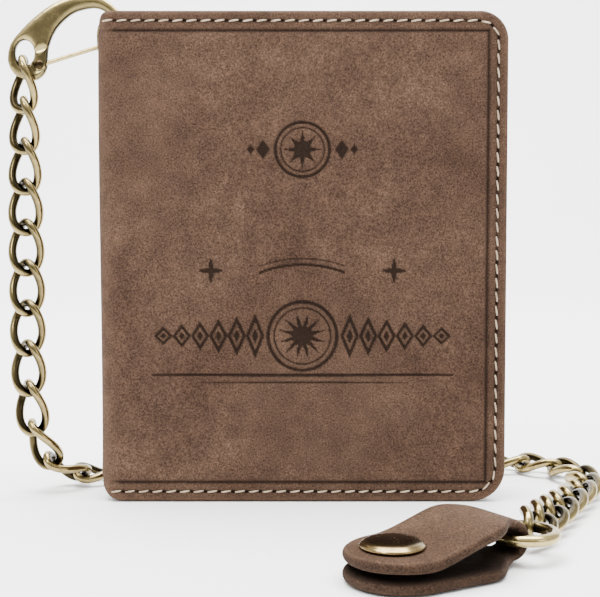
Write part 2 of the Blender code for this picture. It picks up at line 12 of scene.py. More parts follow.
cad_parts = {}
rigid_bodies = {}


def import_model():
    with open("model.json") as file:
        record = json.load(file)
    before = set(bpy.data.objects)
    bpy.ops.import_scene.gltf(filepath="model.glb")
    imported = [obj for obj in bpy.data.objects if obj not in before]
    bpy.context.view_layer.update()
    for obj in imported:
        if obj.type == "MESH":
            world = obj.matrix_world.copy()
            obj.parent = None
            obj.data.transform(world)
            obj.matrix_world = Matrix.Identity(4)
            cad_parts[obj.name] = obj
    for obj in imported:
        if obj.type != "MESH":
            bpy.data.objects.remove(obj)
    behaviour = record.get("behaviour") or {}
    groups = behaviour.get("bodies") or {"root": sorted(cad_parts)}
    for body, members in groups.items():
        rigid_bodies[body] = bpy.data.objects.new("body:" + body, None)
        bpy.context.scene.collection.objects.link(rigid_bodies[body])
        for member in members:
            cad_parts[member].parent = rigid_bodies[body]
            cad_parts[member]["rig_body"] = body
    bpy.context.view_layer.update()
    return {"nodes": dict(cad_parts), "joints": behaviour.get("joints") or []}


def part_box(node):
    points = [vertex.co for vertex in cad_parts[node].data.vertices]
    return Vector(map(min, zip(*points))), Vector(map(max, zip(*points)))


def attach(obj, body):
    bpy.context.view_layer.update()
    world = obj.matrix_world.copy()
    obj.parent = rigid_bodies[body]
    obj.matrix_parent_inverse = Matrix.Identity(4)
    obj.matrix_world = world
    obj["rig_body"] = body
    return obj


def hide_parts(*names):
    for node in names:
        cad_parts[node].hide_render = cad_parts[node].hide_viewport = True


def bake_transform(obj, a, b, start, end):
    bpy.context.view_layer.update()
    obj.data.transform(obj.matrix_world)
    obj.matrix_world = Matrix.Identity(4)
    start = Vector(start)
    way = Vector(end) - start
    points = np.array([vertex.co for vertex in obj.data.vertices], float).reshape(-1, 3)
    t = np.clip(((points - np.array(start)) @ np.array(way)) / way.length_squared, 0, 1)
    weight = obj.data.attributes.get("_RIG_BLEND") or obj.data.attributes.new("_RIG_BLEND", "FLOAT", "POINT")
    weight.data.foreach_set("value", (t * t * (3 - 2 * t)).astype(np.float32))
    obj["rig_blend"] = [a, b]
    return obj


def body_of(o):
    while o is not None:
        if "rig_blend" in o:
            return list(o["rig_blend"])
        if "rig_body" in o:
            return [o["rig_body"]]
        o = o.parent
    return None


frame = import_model()

MM = 0.001
NODES = frame["nodes"]

# The wallet's own coordinates have their zero at the middle of the closed wallet's footprint
COVER_LOW, COVER_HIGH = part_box("front_cover")
BACK_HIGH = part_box("back_cover")[1]
HOME = Vector(((COVER_LOW.x + COVER_HIGH.x) / 2, (COVER_LOW.y + BACK_HIGH.y) / 2, 0.0))
HALF_WIDTH = (COVER_HIGH.x - COVER_LOW.x) / 2
HEIGHT = COVER_HIGH.z
FACE = (BACK_HIGH.y - COVER_LOW.y) / 2
COVER = COVER_HIGH.y - COVER_LOW.y

# Cover leather
TOP_CORNER = 7 * MM
BOTTOM_CORNER = 8 * MM
SPINE_BOTTOM_CORNER = 6 * MM
SPINE_TOP_CORNER = 1.2 * MM
SPINE_ROUND = 5.0 * MM
CREASE_INSET = 4.8 * MM
CREASE_WIDTH = 0.42 * MM
CREASE_DEPTH = 0.38 * MM
PANEL_RAISE = 0.22 * MM
EDGE_ROUND = 1.1 * MM
SWAY = 0.16 * MM
GROOVE_WIDTH = 0.55 * MM
GROOVE_DEPTH = 0.12 * MM
HOLE_DEPTH = 0.4 * MM
INNER_FACE_PRESS = 0.35
STITCH_INSET = 2.45 * MM
STITCH_PITCH = 3.4 * MM
STITCH_LENGTH = 2.3 * MM
STITCH_THICKNESS = 0.42 * MM
STITCH_SLANT = math.radians(9)
STITCH_HOLE = 0.5 * MM
PRESS_DEPTH = 0.28 * MM

# The cover sheet's length: a flat cover, round the spine, and the other flat cover
FLAT_LENGTH = 2 * HALF_WIDTH - SPINE_ROUND
ARC_LENGTH = SPINE_ROUND * math.pi / 2
SPINE_WIDTH = 2 * (FACE - SPINE_ROUND)
SHEET_LENGTH = 2 * FLAT_LENGTH + 2 * ARC_LENGTH + SPINE_WIDTH

# Places of the tooling on the front cover
ROSETTE_HEIGHT = 86.5 * MM
FLOWER_OUT = 22.4 * MM
FLOWER_HEIGHT = 57.0 * MM
BAND_HEIGHT = 41.0 * MM
ARCH_CENTRE = 30.0 * MM

# Chain links, as in the CAD
LINK_WIRE = 2.2 * MM
LINK_LENGTH = 15.1 * MM
LINK_WIDTH = 9.3 * MM
LINK_TWIST = math.radians(90)
LINK_SQUARENESS = 0.82
LINK_PLAY = 0.5 * MM
LINK_EASE = 0.05 * MM
LINK_PITCH = LINK_LENGTH - 2 * LINK_WIRE - LINK_PLAY
HANGING_ROLL = (-46, -36, -24, -12, -4, 0, 0, -8, -20, -33)
END_ROLL = (10, 22, 34, 45)

# Belt tab
TAB_ANGLE = math.radians(30)
TAB_LENGTH = 35.8 * MM
TAB_HALF = 11 * MM
FOLD_OFFSET = 5.76 * MM
FOLD_MIDDLE = 3.3 * MM
STRAP_EDGE = 1.3 * MM
LOWER_STRAP_MIDDLE = 1.3 * MM


# Helpers --------------------------------------------------------------------


def home(x, y, z):
    """A point in the wallet's own coordinates, as a place in the frame."""
    return Vector((x, y, z)) + HOME


def make_object(name, mesh, material=None):
    made = bpy.data.objects.new(name, mesh)
    bpy.context.scene.collection.objects.link(made)
    if material is not None:
        mesh.materials.clear()
        mesh.materials.append(material)
    return made


def grid_faces(rows, columns, wrap_rows=False, wrap_columns=False):
    """Quads of a grid of vertices numbered row by row."""
    row = np.arange(rows if wrap_rows else rows - 1)
    column = np.arange(columns if wrap_columns else columns - 1)
    r, c = (a.ravel() for a in np.meshgrid(row, column, indexing="ij"))
    r2, c2 = (r + 1) % rows, (c + 1) % columns
    return np.stack([r * columns + c, r * columns + c2, r2 * columns + c2, r2 * columns + c], 1)


def mesh_from(name, points, faces, smooth=True):
    mesh = bpy.data.meshes.new(name)
    mesh.from_pydata(np.asarray(points, float).tolist(), [], [list(map(int, f)) for f in faces])
    mesh.validate()
    mesh.update()
    if smooth:
        mesh.shade_smooth()
    return mesh


def store(mesh, name, values):
    """Keeps a value per point for the materials; one number stands for every point."""
    layer = mesh.attributes.new(name, "FLOAT", "POINT")
    values = np.broadcast_to(np.asarray(values, np.float32), len(mesh.vertices))
    layer.data.foreach_set("value", np.ascontiguousarray(values))


def point_places(mesh):
    return np.array([v.co for v in mesh.vertices])


def point_normals(mesh):
    return np.array([v.normal for v in mesh.vertices])


def weld(mesh, distance):
    """Joins points that meet, and turns the faces outwards."""
    bm = bmesh.new()
    bm.from_mesh(mesh)
    bmesh.ops.remove_doubles(bm, verts=bm.verts, dist=distance)
    bmesh.ops.recalc_face_normals(bm, faces=bm.faces)
    bm.to_mesh(mesh)
    bm.free()
    mesh.shade_smooth()


def closed_sheet(first, second):
    """Points and faces of a solid sheet between two grids of points of the same size."""
    rows, columns = first.shape[:2]
    count = rows * columns
    points = np.concatenate([first.reshape(-1, 3), second.reshape(-1, 3)])
    sheet = grid_faces(rows, columns)
    index = np.arange(count).reshape(rows, columns)
    rim = np.concatenate([index[0, :], index[1:, -1], index[-1, -2::-1], index[-2:0:-1, 0]])
    following = np.roll(rim, -1)
    wall = np.stack([rim, rim + count, following + count, following], 1)
    return points, np.concatenate([sheet, sheet[:, ::-1] + count, wall])


def tube(centres, sides, radius, closed, up):
    """Rings of points round a centreline; up steadies the rings. radius may vary along it."""
    centres = np.asarray(centres, float)
    count = len(centres)
    if closed:
        tangent = np.roll(centres, -1, 0) - np.roll(centres, 1, 0)
    else:
        tangent = np.gradient(centres, axis=0)
    tangent /= np.linalg.norm(tangent, axis=1)[:, None]
    side = np.cross(tangent, up)
    side /= np.linalg.norm(side, axis=1)[:, None]
    over = np.cross(side, tangent)
    angle = np.arange(sides) * math.tau / sides
    radius = np.broadcast_to(radius, (count,))[:, None, None]
    cosine, sine = np.cos(angle)[None, :, None], np.sin(angle)[None, :, None]
    ring = cosine * side[:, None] + sine * over[:, None]
    return (centres[:, None] + radius * ring).reshape(-1, 3), ring.reshape(-1, 3)


def smoothstep(low, high, value):
    t = np.clip((value - low) / (high - low), 0, 1)
    return t * t * (3 - 2 * t)


# Materials ------------------------------------------------------------------


def new_material(name):
    made = bpy.data.materials.new(name)
    made.use_nodes = True
    tree = made.node_tree
    return made, tree, tree.nodes["Principled BSDF"]


def node(tree, kind, inputs=None, **settings):
    made = tree.nodes.new(kind)
    for key, value in settings.items():
        setattr(made, key, value)
    for key, value in (inputs or {}).items():
        if isinstance(value, bpy.types.NodeSocket):
            tree.links.new(value, made.inputs[key])
        else:
            made.inputs[key].default_value = value
    return made


def place(tree):
    return node(tree, "ShaderNodeTexCoord").outputs["Object"]


def noise(tree, scale, detail=4.0, roughness=0.6, distortion=0.0):
    inputs = {"Vector": place(tree), "Scale": scale, "Detail": detail}
    inputs.update({"Roughness": roughness, "Distortion": distortion})
    return node(tree, "ShaderNodeTexNoise", inputs).outputs["Fac"]


def ramp(tree, value, stops):
    made = node(tree, "ShaderNodeValToRGB", {"Fac": value})
    band = made.color_ramp
    while len(band.elements) < len(stops):
        band.elements.new(0.5)
    for element, (at, colour) in zip(band.elements, stops):
        element.position = at
        element.color = (*colour, 1.0)
    return made.outputs["Color"]


def grey(level):
    return (level, level, level)


def shade(colour, factor):
    return tuple(channel * factor for channel in colour)


def mix(tree, factor, first, second, blend="MIX"):
    made = node(tree, "ShaderNodeMix", data_type="RGBA", blend_type=blend)
    for key, value in ((0, factor), (6, first), (7, second)):
        if isinstance(value, bpy.types.NodeSocket):
            tree.links.new(value, made.inputs[key])
        else:
            made.inputs[key].default_value = value if key == 0 else (*value, 1.0)
    return made.outputs[2]


def math_node(tree, operation, *values):
    made = node(tree, "ShaderNodeMath", operation=operation)
    for i, value in enumerate(values):
        if isinstance(value, bpy.types.NodeSocket):
            tree.links.new(value, made.inputs[i])
        else:
            made.inputs[i].default_value = value
    return made.outputs[0]


def attribute(tree, name):
    return node(tree, "ShaderNodeAttribute", attribute_name=name).outputs["Fac"]


def bump(tree, height, strength, distance, normal=None):
    inputs = {"Height": height, "Strength": strength, "Distance": distance}
    if normal is not None:
        inputs["Normal"] = normal
    return node(tree, "ShaderNodeBump", inputs).outputs["Normal"]


def link_look(tree, shader, colour, roughness, relief):
    """Links a look's colour, roughness and relief to its shader."""
    tree.links.new(colour, shader.inputs["Base Color"])
    tree.links.new(roughness, shader.inputs["Roughness"])
    tree.links.new(relief, shader.inputs["Normal"])


def nubuck(name, dark, middle, light):
    """Brushed brown leather: soft clouds, fine nap, dark tooling, painted shade in stitch holes and between
    the tab's tongues, and paler worn edges.
    """
    made, tree, shader = new_material(name)
    clouds = noise(tree, scale=30.0, detail=5.0, roughness=0.6, distortion=0.5)
    blotch = noise(tree, scale=210.0, detail=5.0, roughness=0.7)
    nap = noise(tree, scale=2500.0, detail=5.0, roughness=0.8, distortion=0.2)
    base = ramp(tree, clouds, [(0.3, dark), (0.5, middle), (0.72, light)])
    patches = ramp(tree, blotch, [(0.34, grey(0.36)), (0.66, grey(0.64))])
    base = mix(tree, 0.7, base, patches, "SOFT_LIGHT")
    fibres = ramp(tree, nap, [(0.34, grey(0.08)), (0.5, grey(0.45)), (0.68, grey(1.0))])
    base = mix(tree, 1.0, base, fibres, "SOFT_LIGHT")
    rubbed = ramp(tree, blotch, [(0.35, grey(0.15)), (0.62, grey(0.75))])
    worn = math_node(tree, "MULTIPLY", attribute(tree, "wear"), rubbed)
    base = mix(tree, worn, base, shade(light, 1.3))
    # Darkens pressed tooling, and paints shade into stitch holes and between the tab's tongues.
    base = mix(tree, attribute(tree, "press_and_shade"), base, shade(dark, 0.12))
    dull = ramp(tree, blotch, [(0.3, grey(0.76)), (0.7, grey(0.94))])
    shader.inputs["Specular IOR Level"].default_value = 0.1
    fine = bump(tree, nap, strength=0.55, distance=0.14 * MM)
    relief = bump(tree, blotch, strength=0.45, distance=0.3 * MM, normal=fine)
    link_look(tree, shader, base, dull, relief)
    return made


def smooth_leather(name, dark, light):
    """Finished inner leather with a pebbled grain."""
    made, tree, shader = new_material(name)
    inputs = {"Vector": place(tree), "Scale": 1300.0, "Randomness": 1.0}
    pebble = node(tree, "ShaderNodeTexVoronoi", inputs, feature="SMOOTH_F1").outputs["Distance"]
    clouds = noise(tree, scale=90.0, detail=5.0, roughness=0.6)
    tone = ramp(tree, clouds, [(0.35, dark), (0.66, light)])
    dull = ramp(tree, clouds, [(0.3, grey(0.5)), (0.7, grey(0.68))])
    link_look(tree, shader, tone, dull, bump(tree, pebble, strength=0.5, distance=0.3 * MM))
    return made


def cloth(name, first, second, threads):
    """A plain weave in two close tones."""
    made, tree, shader = new_material(name)
    inputs = {"Vector": place(tree), "Scale": threads, "Distortion": 0.4}
    across = node(tree, "ShaderNodeTexWave", inputs, bands_direction="X").outputs["Fac"]
    along = node(tree, "ShaderNodeTexWave", inputs, bands_direction="Z").outputs["Fac"]
    weave = math_node(tree, "MULTIPLY", across, along)
    tone = ramp(tree, weave, [(0.1, first), (0.8, second)])
    dull = ramp(tree, noise(tree, scale=800.0), [(0.3, grey(0.8)), (0.7, grey(0.95))])
    link_look(tree, shader, tone, dull, bump(tree, weave, strength=0.6, distance=0.2 * MM))
    return made


def thread(name):
    """Light brown thread with a slanting ply."""
    made, tree, shader = new_material(name)
    inputs = {"Vector": place(tree), "Scale": 900.0, "Distortion": 1.5}
    ply = node(tree, "ShaderNodeTexWave", inputs, bands_direction="DIAGONAL").outputs["Fac"]
    dark, light = (0.28, 0.21, 0.14), (0.45, 0.36, 0.25)
    tone = ramp(tree, noise(tree, scale=500.0), [(0.35, dark), (0.62, light)])
    shadow = ramp(tree, ply, [(0.2, grey(0.35)), (0.7, grey(0.85))])
    tone = mix(tree, 0.5, tone, shadow, "SOFT_LIGHT")
    dull = ramp(tree, ply, [(0.2, grey(0.8)), (0.8, grey(0.6))])
    link_look(tree, shader, tone, dull, bump(tree, ply, strength=0.4, distance=0.1 * MM))
    return made


def antique_brass(name, bright, tarnish, rough, patina):
    """Antique brass with random tarnish stains and specks; painted shade darkens it to olive-black on inner
    sides and in hollows.
    """
    made, tree, shader = new_material(name)
    stain = noise(tree, scale=330.0, detail=4.0, roughness=0.55)
    fine = noise(tree, scale=1100.0, detail=3.0, roughness=0.55)
    stained = ramp(tree, stain, [(0.42, grey(0.0)), (0.7, grey(patina))])
    specks = ramp(tree, fine, [(0.5, grey(0.0)), (0.75, grey(0.3))])
    colour = mix(tree, stained, bright, tarnish)
    colour = mix(tree, specks, colour, tarnish)
    # Painted shade: a per-point mask mixes in near-black tarnish on inner sides, in hollows and at joints.
    colour = mix(tree, attribute(tree, "painted_shade"), colour, shade(tarnish, 0.2))
    shader.inputs["Metallic"].default_value = 1.0
    level = ramp(tree, stain, [(0.35, grey(rough[0])), (0.7, grey(rough[1]))])
    link_look(tree, shader, colour, level, bump(tree, fine, strength=0.1, distance=0.05 * MM))
    return made


def clear_film(name):
    """A thin plastic window with a slight haze."""
    made, tree, shader = new_material(name)
    haze = noise(tree, scale=120.0, detail=3.0, roughness=0.5)
    tint = ramp(tree, haze, [(0.3, (0.62, 0.64, 0.66)), (0.7, (0.74, 0.76, 0.78))])
    gloss = ramp(tree, haze, [(0.3, grey(0.08)), (0.7, grey(0.2))])
    tree.links.new(tint, shader.inputs["Base Color"])
    tree.links.new(gloss, shader.inputs["Roughness"])
    shader.inputs["Alpha"].default_value = 0.35
    return made


LEATHER = nubuck(
    "nubuck_leather", (0.047, 0.0255, 0.0160), (0.066, 0.0375, 0.0240), (0.094, 0.0560, 0.0360)
)
STRAP_LEATHER = nubuck(
    "strap_leather", (0.036, 0.0195, 0.0115), (0.053, 0.0300, 0.0185), (0.077, 0.0470, 0.0300)
)
INNER_LEATHER = smooth_leather("inner_leather", (0.045, 0.026, 0.017), (0.085, 0.052, 0.034))
LINING = cloth("lining_cloth", (0.012, 0.012, 0.013), (0.045, 0.043, 0.042), 700.0)
THREAD = thread("seam_thread")
BRASS = antique_brass(
    "antique_brass", (0.44, 0.345, 0.15), (0.15, 0.115, 0.055), rough=(0.2, 0.3), patina=0.12
)
CHAIN_BRASS = antique_brass(
    "chain_brass", (0.36, 0.275, 0.115), (0.09, 0.07, 0.035), rough=(0.18, 0.3), patina=0.5
)
DARK_BRASS = antique_brass(
    "dark_brass", (0.30, 0.21, 0.09), (0.06, 0.038, 0.022), rough=(0.16, 0.3), patina=0.5
)
FILM = clear_film("clear_film")


# Outer leather ----------------------------------------------------------------


def outline_distance(x, z):
    """How far a point lies inside the cover's top, outer and bottom edges (none at the spine)."""
    plain = np.minimum(np.minimum(HALF_WIDTH - x, HEIGHT - z), z)
    for radius, top in ((TOP_CORNER, True), (BOTTOM_CORNER, False)):
        away = z - (HEIGHT - radius) if top else radius - z
        past = x - (HALF_WIDTH - radius)
        plain = np.where((past > 0) & (away > 0), radius - np.hypot(past, away), plain)
    return plain


def line_mask(distance, half_width, soft=0.12 * MM):
    return 1 - smoothstep(half_width - soft, half_width + soft, distance)


def ring_mask(x, z, cx, cz, radius, half_width):
    return line_mask(np.abs(np.hypot(x - cx, z - cz) - radius), half_width)


def petal_mask(x, z, cx, cz, reach, count, fullness=0.55, turn=0.0):
    """A rosette of pointed petals round a centre."""
    angle = np.arctan2(z - cz, x - cx) - turn
    radius = np.hypot(x - cx, z - cz)
    edge = reach * (1 - fullness * np.abs(np.sin(angle * count / 2)) ** 0.7)
    return line_mask(radius - edge, 0.0)


def diamond_mask(x, z, cx, cz, half_wide, half_tall, hollow=0.0):
    size = np.abs(x - cx) / half_wide + np.abs(z - cz) / half_tall
    scale = min(half_wide, half_tall)
    solid = line_mask((size - 1) * scale, 0.0)
    if hollow:
        solid = np.minimum(solid, 1 - line_mask((size - hollow) * scale, 0.0))
    return solid


def rule_mask(x, z, cx, cz, half_long, half_tall):
    """A rule that tapers to its ends."""
    taper = half_tall * np.clip(1.25 - np.abs(x - cx) / half_long, 0, 1) ** 0.5
    inside = np.abs(x - cx) < half_long
    return np.where(inside, line_mask(np.abs(z - cz) - taper, 0.0), 0)


def rosette(x, z):
    """A flower in a double ring, with two diamonds on each side."""
    masks = [
        ring_mask(x, z, 0.0, ROSETTE_HEIGHT, 6.6 * MM, 0.38 * MM),
        ring_mask(x, z, 0.0, ROSETTE_HEIGHT, 5.3 * MM, 0.18 * MM),
        petal_mask(x, z, 0.0, ROSETTE_HEIGHT, 4.5 * MM, 8),
    ]
    for side in (-1, 1):
        masks.append(diamond_mask(x, z, side * 9.6 * MM, ROSETTE_HEIGHT, 1.7 * MM, 2.4 * MM))
        masks.append(diamond_mask(x, z, side * 12.6 * MM, ROSETTE_HEIGHT, 0.9 * MM, 1.3 * MM))
    return masks


def small_flowers(x, z):
    """A four-petalled flower on each side, between the rosette and the band."""
    masks = []
    for cx in (-FLOWER_OUT, FLOWER_OUT):
        masks.append(petal_mask(x, z, cx, FLOWER_HEIGHT, 3.3 * MM, 4, 0.72))
        masks.append(ring_mask(x, z, cx, FLOWER_HEIGHT, 0.001 * MM, 0.8 * MM))
    return masks


def diamond_band(x, z):
    """A ringed flower with a row of hollow diamonds that shrink on each side, over two rules."""
    masks = [
        ring_mask(x, z, 0.0, BAND_HEIGHT, 8.4 * MM, 0.42 * MM),
        ring_mask(x, z, 0.0, BAND_HEIGHT, 6.9 * MM, 0.2 * MM),
        petal_mask(x, z, 0.0, BAND_HEIGHT, 6.1 * MM, 12, 0.6, math.radians(15)),
        rule_mask(x, z, 0.0, 31.4 * MM, 37 * MM, 0.42 * MM),
        rule_mask(x, z, 0.0, 29.6 * MM, 26 * MM, 0.2 * MM),
    ]
    for i in range(6):
        far = 11.6 * MM + i * 4.5 * MM
        tall = 5.6 * MM * (1 - 0.12 * i)
        for side in (-1, 1):
            masks.append(diamond_mask(x, z, side * far, BAND_HEIGHT, 2.3 * MM, tall, hollow=0.62))
            masks.append(diamond_mask(x, z, side * far, BAND_HEIGHT, 0.8 * MM, tall * 0.34))
    return masks


def double_arch(x, z):
    """Two thin arches over the band's flower."""
    reach = np.hypot(x, z - ARCH_CENTRE)
    span = (np.abs(x) < 10.5 * MM) & (z > 45 * MM)
    return [
        np.where(span, line_mask(np.abs(reach - radius), half_width), 0)
        for radius, half_width in ((28.5 * MM, 0.32 * MM), (30.0 * MM, 0.14 * MM))
    ]


def ornament(x, z):
    """A plain tooled pattern: a rosette above, a band of diamonds below."""
    masks = rosette(x, z) + small_flowers(x, z) + diamond_band(x, z) + double_arch(x, z)
    return np.max(masks, axis=0)


def seam_path(x_start):
    """The seam along top, outer edge and bottom: points and outward directions, by arc length."""
    points, outward = [], []
    step = 0.1 * MM
    top, bottom = HEIGHT - STITCH_INSET, STITCH_INSET
    right = HALF_WIDTH - STITCH_INSET

    def straight(x0, z0, x1, z1, out):
        count = max(2, int(math.hypot(x1 - x0, z1 - z0) / step))
        for i in range(count):
            t = i / count
            points.append((x0 + (x1 - x0) * t, z0 + (z1 - z0) * t))
            outward.append(out)

    def bend(cx, cz, radius, start, end):
        count = max(2, int(abs(end - start) * radius / step))
        for i in range(count):
            a = start + (end - start) * i / count
            points.append((cx + radius * math.cos(a), cz + radius * math.sin(a)))
            outward.append((math.cos(a), math.sin(a)))

    r_top, r_bottom = TOP_CORNER, BOTTOM_CORNER
    straight(x_start, top, HALF_WIDTH - r_top, top, (0, 1))
    bend(HALF_WIDTH - r_top, HEIGHT - r_top, r_top - STITCH_INSET, math.pi / 2, 0)
    straight(right, HEIGHT - r_top, right, r_bottom, (1, 0))
    bend(HALF_WIDTH - r_bottom, r_bottom, r_bottom - STITCH_INSET, 0, -math.pi / 2)
    straight(HALF_WIDTH - r_bottom, bottom, x_start, bottom, (0, -1))
    return np.array(points), np.array(outward)


SEAM_START = -HALF_WIDTH + 1.0 * MM
SEAM, SEAM_OUT = seam_path(SEAM_START)
SEAM_FAR = np.concatenate([[0], np.cumsum(np.linalg.norm(np.diff(SEAM, axis=0), axis=1))])
STITCHES = int(SEAM_FAR[-1] / STITCH_PITCH)


def seam_at(far):
    i = min(len(SEAM) - 1, int(np.searchsorted(SEAM_FAR, far)))
    return SEAM[i], SEAM_OUT[i]


def hole_mask(x, z):
    """Pricks between the stitches, drawn out along the seam; the mask dents them and darkens them with
    painted shade.
    """
    stretch = 1.7
    best = np.full(x.shape, 1.0)
    near = outline_distance(x, z) < 4 * MM
    px, pz = x[near], z[near]
    close = np.full(px.shape, 1.0)
    for i in range(STITCHES + 1):
        (hx, hz), (ox, oz) = seam_at(i * STITCH_PITCH)
        across = (px - hx) * ox + (pz - hz) * oz
        along = (px - hx) * oz - (pz - hz) * ox
        close = np.minimum(close, np.hypot(across, along / stretch))
    best[near] = close
    return 1 - smoothstep(0.22 * MM, STITCH_HOLE, best)


def lines(*stretches):
    """Grid lines over stretches of (start, end, spacing)."""
    found = []
    for start, end, spacing in stretches:
        count = max(1, round((end - start) / spacing))
        found += [start + (end - start) * i / count for i in range(count)]
    return np.array(found + [stretches[-1][1]])


def corner_warp(x, z):
    """Moves a rectangular grid's corners onto the cover's round corners."""
    for radius, top in ((TOP_CORNER, True), (BOTTOM_CORNER, False)):
        cx = HALF_WIDTH - radius
        cz = HEIGHT - radius if top else radius
        sign = 1 if top else -1
        a = (x - cx) / radius
        b = (z - cz) * sign / radius
        inside = (a > 0) & (b > 0)
        a2, b2 = np.clip(a, 0, 1), np.clip(b, 0, 1)
        x = np.where(inside, cx + radius * a2 * np.sqrt(1 - b2**2 / 2), x)
        z = np.where(inside, cz + sign * radius * b2 * np.sqrt(1 - a2**2 / 2), z)
    return x, z


def spine_ends(x, z):
    """Rounds the sheet's lower and upper ends towards the spine."""
    near = np.clip(SPINE_BOTTOM_CORNER - (x + HALF_WIDTH), 0, SPINE_BOTTOM_CORNER)
    rise = SPINE_BOTTOM_CORNER - np.sqrt(SPINE_BOTTOM_CORNER**2 - near**2 * 0.93)
    band = 9 * MM
    low = np.clip(z / band, 0, 1)
    z = z + rise * (1 - low)
    near = np.clip(2 * MM - (x + HALF_WIDTH), 0, 2 * MM) / (2 * MM)
    return z - 2.2 * SPINE_TOP_CORNER * near**2 * smoothstep(HEIGHT - band, HEIGHT, z)


def cover_lines():
    """Grid lines along and up the cover sheet, close at the seams, the tooling and the spine."""
    seam, tool, plain, spine, back = 0.32 * MM, 0.3 * MM, 1.1 * MM, 0.55 * MM, 1.6 * MM
    spine_start = FLAT_LENGTH - 2 * MM
    spine_end = FLAT_LENGTH + 2 * ARC_LENGTH + SPINE_WIDTH + 2 * MM
    along = lines(
        (0, 9 * MM, seam), (9 * MM, 12.5 * MM, plain), (12.5 * MM, 87.5 * MM, tool),
        (87.5 * MM, spine_start, plain), (spine_start, spine_end, spine),
        (spine_end, SHEET_LENGTH - 9 * MM, back), (SHEET_LENGTH - 9 * MM, SHEET_LENGTH, seam),
    )
    up = lines(
        (0, 8.5 * MM, seam), (8.5 * MM, 28 * MM, plain), (28 * MM, 62 * MM, tool),
        (62 * MM, 79 * MM, plain), (79 * MM, 94 * MM, tool), (94 * MM, HEIGHT - 8.5 * MM, plain),
        (HEIGHT - 8.5 * MM, HEIGHT, seam),
    )
    return np.meshgrid(along, up, indexing="ij")


def outer_leather():
    """One sheet from the front's outer edge round the spine to the back's outer edge."""
    along, up = cover_lines()
    back = along > SHEET_LENGTH / 2
    far = np.where(back, SHEET_LENGTH - along, along)
    bend = np.clip((far - FLAT_LENGTH) / SPINE_ROUND, 0, math.pi / 2)
    on_spine = -HALF_WIDTH + SPINE_ROUND * (1 - np.sin(bend))
    x = np.where(far < FLAT_LENGTH, HALF_WIDTH - far, on_spine)
    y = -FACE + SPINE_ROUND * (1 - np.cos(bend)) + np.clip(far - FLAT_LENGTH - ARC_LENGTH, 0, None)
    nx, ny = -np.sin(bend), -np.cos(bend)
    x, z = corner_warp(x, up)
    z = spine_ends(x, z)

    inside = outline_distance(x, z)
    inside_crease = np.minimum(np.minimum(HALF_WIDTH - x, HEIGHT - z), z) - CREASE_INSET
    on_flat = smoothstep(FLAT_LENGTH + 3.5 * MM, FLAT_LENGTH, far)
    crease = np.exp(-((inside_crease / CREASE_WIDTH) ** 2)) * (0.25 + 0.75 * on_flat)
    panel = smoothstep(0, 1.6 * MM, inside_crease)
    holes = hole_mask(x, z) * on_flat
    tooling = np.where(back, 0, ornament(x, z)) * on_flat
    groove = np.exp(-(((inside - STITCH_INSET) / GROOVE_WIDTH) ** 2)) * on_flat
    edge_turn = np.clip(1 - inside / EDGE_ROUND, 0, 1)
    edge_drop = EDGE_ROUND * 0.62 * (1 - np.sqrt(1 - edge_turn**2))
    sway = SWAY * np.sin(x * 61 + 1.3) * np.sin(z * 47 + 0.4) * smoothstep(0, 15 * MM, inside)
    height = (
        PANEL_RAISE * panel + sway - CREASE_DEPTH * crease - PRESS_DEPTH * tooling
        - GROOVE_DEPTH * groove - HOLE_DEPTH * holes - edge_drop
    )

    wall = COVER - 0.15 * MM
    outer = np.stack([x + nx * height, y + ny * height, z], -1)
    inner = np.stack([x - nx * wall, y - ny * wall, z], -1)
    for sheet in (outer, inner):
        sheet[..., 1] *= np.where(back, -1.0, 1.0)
    points, faces = closed_sheet(outer, inner)
    mesh = mesh_from("outer_leather", points + np.array(HOME), faces)

    # Pressed tooling, crease and groove are darker; the stitch holes get painted shade.
    press_and_shade = 0.86 * crease * (0.5 + 0.5 * on_flat) + 0.86 * tooling + holes + 0.12 * groove
    press_and_shade = np.clip(press_and_shade, 0, 0.95).ravel()
    wear = smoothstep(1.5 * MM, 0.1 * MM, inside) * 0.55
    wear = np.maximum(wear, 0.5 * np.exp(-(((bend - 0.9) / 0.5) ** 2))).ravel()
    store(mesh, "press_and_shade", np.concatenate([press_and_shade, np.full(press_and_shade.shape, INNER_FACE_PRESS)]))
    store(mesh, "wear", np.concatenate([wear, np.zeros(wear.shape)]))
    made = make_object("outer_leather", mesh, LEATHER)
    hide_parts("front_cover", "back_cover", "spine_cover")
    front_inside = home(-HALF_WIDTH, -FACE + COVER, 0)
    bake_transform(made, "root", "front_half", front_inside + Vector((0, 6 * MM, 0)), front_inside)


